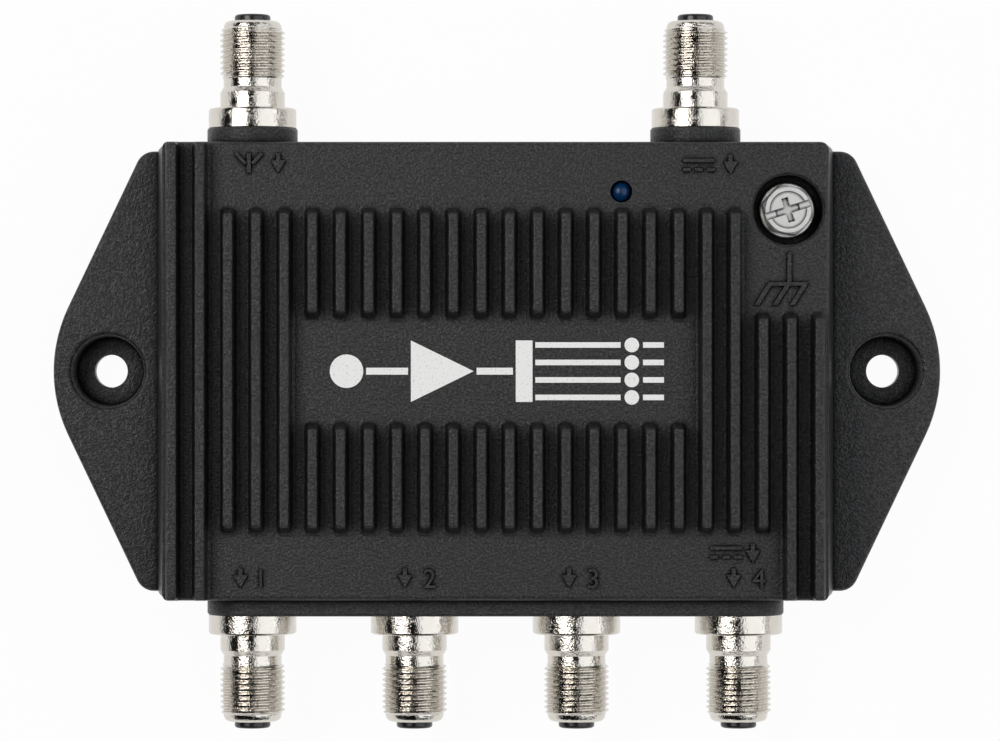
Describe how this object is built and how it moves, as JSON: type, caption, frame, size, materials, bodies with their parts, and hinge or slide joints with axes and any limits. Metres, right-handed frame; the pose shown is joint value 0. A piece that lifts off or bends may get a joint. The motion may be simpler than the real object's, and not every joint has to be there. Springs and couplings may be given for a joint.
{
  "type": "tv signal amplifier",
  "caption": "Finned die-cast television signal amplifier with wall ears, threaded coaxial sockets for aerial, power and outputs, a status lamp and a ground screw.",
  "frame": {"origin": "midway between the two mounting holes, on the plane that rests on the wall", "axes": "+X along the box, the aerial input's side to the ground screw's side; +Y from the output sockets to the aerial and power inputs; +Z away from the wall, out of the ribbed face"},
  "size_m": [0.1288, 0.1034, 0.0208],
  "materials": {
    "black_powder_coat": "fine-grained satin black powder coat on a die casting",
    "cover_zinc_plate": "dull zinc-plated sheet",
    "screw_steel": "bright zinc-plated steel",
    "socket_nickel": "bright nickel plate on turned brass",
    "insulator_plastic": "glossy black moulded plastic",
    "contact_metal": "tinned spring bronze",
    "lamp_blue": "clear blue moulded resin, unlit",
    "board_laminate": "green solder mask on glass laminate",
    "chip_plastic": "matt black moulded resin",
    "lead_tin": "dull tin plate",
    "ferrite": "dark grey sintered ferrite",
    "copper_wire": "red-brown enamelled copper wire",
    "capacitor_can": "bare drawn aluminium",
    "ceramic_chip": "tan ceramic",
    "pad_rubber": "soft grey-blue silicone"
  },
  "bodies": {
    "housing": {"housing": "black_powder_coat", "back_cover": "cover_zinc_plate", "cover_screws": "screw_steel", "circuit_board": "board_laminate", "board_screws": "screw_steel", "status_lamp": "lamp_blue", "lamp_leads": "lead_tin", "thermal_pad": "pad_rubber", "amplifier_chip": "chip_plastic", "chip_leads": "lead_tin", "voltage_regulator": "chip_plastic", "regulator_leads": "lead_tin", "power_choke_core": "ferrite", "power_choke_winding": "copper_wire", "filter_capacitor": "capacitor_can", "capacitor_base": "chip_plastic", "reverse_diode": "chip_plastic", "input_coils": "copper_wire", "splitter_cores": "ferrite", "splitter_windings": "copper_wire", "chip_capacitors": "ceramic_chip", "chip_resistors": "chip_plastic", "aerial_in_socket": "socket_nickel", "aerial_in_insulator": "insulator_plastic", "aerial_in_contact": "contact_metal", "power_in_socket": "socket_nickel", "power_in_insulator": "insulator_plastic", "power_in_contact": "contact_metal", "output_1_socket": "socket_nickel", "output_1_insulator": "insulator_plastic", "output_1_contact": "contact_metal", "output_2_socket": "socket_nickel", "output_2_insulator": "insulator_plastic", "output_2_contact": "contact_metal", "output_3_socket": "socket_nickel", "output_3_insulator": "insulator_plastic", "output_3_contact": "contact_metal", "output_4_socket": "socket_nickel", "output_4_insulator": "insulator_plastic", "output_4_contact": "contact_metal"},
    "ground_washer": {"ground_washer": "socket_nickel"},
    "ground_screw": {"ground_screw": "socket_nickel"}
  },
  "joints": [
    {"name": "ground_screw_travel", "type": "slide", "parent": "housing", "child": "ground_washer", "axis": [0, 0, 1], "range_m": [0, 0.005]},
    {"name": "ground_screw_turn", "type": "hinge", "parent": "ground_washer", "child": "ground_screw", "pos_m": [0.0417, 0.0231, 0.014], "axis": [0, 0, 1], "range_deg": [0, 2572]}
  ],
  "couplings": [
    {"joint": "ground_screw_turn", "follows": "ground_screw_travel", "rad_per_m": 8976}
  ]
}
